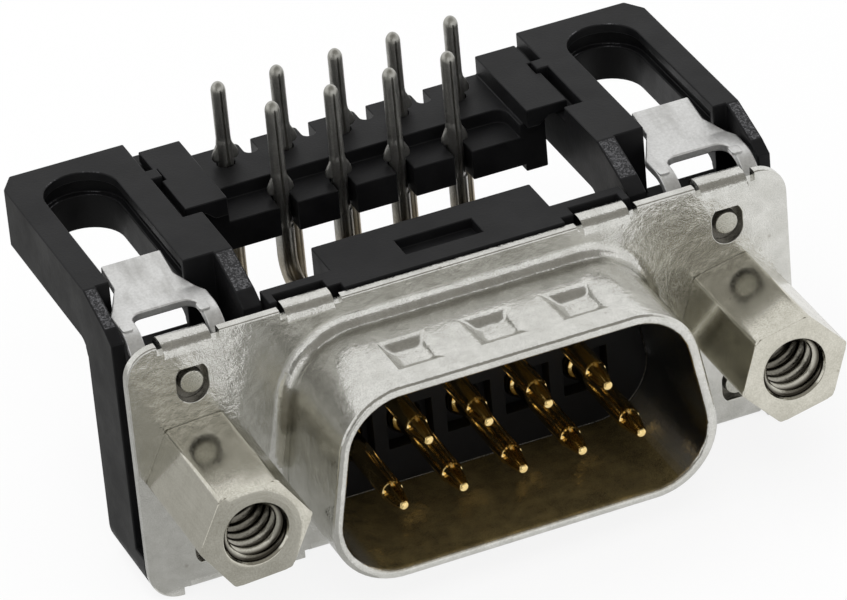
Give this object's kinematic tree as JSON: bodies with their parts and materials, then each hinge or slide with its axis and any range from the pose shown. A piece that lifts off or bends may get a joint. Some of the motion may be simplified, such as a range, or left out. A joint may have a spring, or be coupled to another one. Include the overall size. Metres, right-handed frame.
{
  "type": "d-sub connector",
  "caption": "Right angle D-sub plug connector with a nickel shell, gold pins, hex jack standoffs, black board brackets, tin ground straps and a tail comb for a circuit board.",
  "frame": {"origin": "centre of the flange's front face, on the axis of the mating shell", "axes": "+X along the flange to the right as seen from the mating side, -Y out of the mating face, +Z towards the circuit board, the way the solder tails point"},
  "size_m": [0.0308, 0.0212, 0.0165],
  "materials": {
    "nickel_steel": "satin",
    "black_insulator": "satin",
    "gold_contact": "gloss",
    "black_comb": "satin",
    "black_bracket": "satin",
    "tinned_strap": "satin",
    "nickel_hex": "satin",
    "nickel_nut": "satin"
  },
  "bodies": {
    "root": {"front_shell": "nickel_steel", "rear_plate": "nickel_steel", "front_insulator": "black_insulator", "rear_insulator": "black_insulator", "contact_1": "gold_contact", "contact_2": "gold_contact", "contact_3": "gold_contact", "contact_4": "gold_contact", "contact_5": "gold_contact", "contact_6": "gold_contact", "contact_7": "gold_contact", "contact_8": "gold_contact", "contact_9": "gold_contact", "tail_organizer": "black_comb", "bracket_left": "black_bracket", "bracket_right": "black_bracket", "ground_strap_left": "tinned_strap", "ground_strap_right": "tinned_strap", "jack_standoff_left": "nickel_hex", "jack_standoff_right": "nickel_hex", "jack_nut_left": "nickel_nut", "jack_nut_right": "nickel_nut"}
  },
  "joints": []
}
